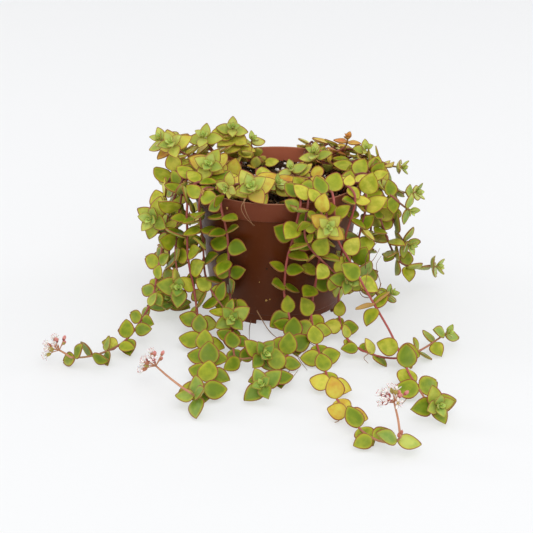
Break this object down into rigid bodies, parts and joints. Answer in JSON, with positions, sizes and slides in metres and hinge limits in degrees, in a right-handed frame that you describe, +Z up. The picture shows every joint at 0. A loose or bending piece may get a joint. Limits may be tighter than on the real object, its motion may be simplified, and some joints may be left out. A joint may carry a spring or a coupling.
{
  "type": "potted trailing jade",
  "caption": "Trailing jade plant with opposite fleshy leaves on red stems that spill over the rim of a round nursery pot, with small umbels of star flowers.",
  "frame": {"origin": "centre of the flat foot in the middle of the pot's underside, on the pot's axis and on the surface it stands on", "axes": "+Z up along the pot's axis, -Y towards the front that the longest stems trail to, +X to the right seen from the front"},
  "size_m": [0.2719, 0.3348, 0.1263],
  "materials": {
    "pot": "smooth moulded plastic with a soft sheen",
    "soil": "dark crumbly potting mix",
    "foliage": "waxy succulent skin with thin maroon margins",
    "flowers": "soft pale pink petals"
  },
  "bodies": {
    "root": {"bloom_centre": "flowers", "bloom_left": "flowers", "bloom_right": "flowers", "pot": "pot", "soil": "soil", "stem_back_left": "foliage", "stem_back_left_short": "foliage", "stem_back_left_side": "foliage", "stem_back_middle": "foliage", "stem_back_right": "foliage", "stem_back_right_side": "foliage", "stem_centre_rosette": "foliage", "stem_front_left": "foliage", "stem_front_left_short": "foliage", "stem_front_middle": "foliage", "stem_front_right_short": "foliage", "stem_front_rosette": "foliage", "stem_inner_right": "foliage", "stem_inner_small": "foliage", "stem_left_back_hang": "foliage", "stem_left_centre": "foliage", "stem_left_cluster_back": "foliage", "stem_left_cluster_front": "foliage", "stem_left_front_rosette": "foliage", "stem_left_hang_rosette": "foliage", "stem_left_long": "foliage", "stem_left_side_rosette": "foliage", "stem_left_top_rosette": "foliage", "stem_right_back_hang": "foliage", "stem_right_diagonal": "foliage", "stem_right_front": "foliage", "stem_right_hang": "foliage", "stem_right_long": "foliage", "stem_right_low": "foliage", "stem_right_out": "foliage", "stem_right_out_low": "foliage", "stem_right_over_soil": "foliage", "stem_right_star": "foliage", "stem_top_left_small": "foliage", "stem_top_left_star": "foliage", "stem_top_left_tip": "foliage", "stem_top_right_chain": "foliage", "stem_top_right_star": "foliage", "stem_top_right_tip": "foliage"}
  },
  "joints": []
}
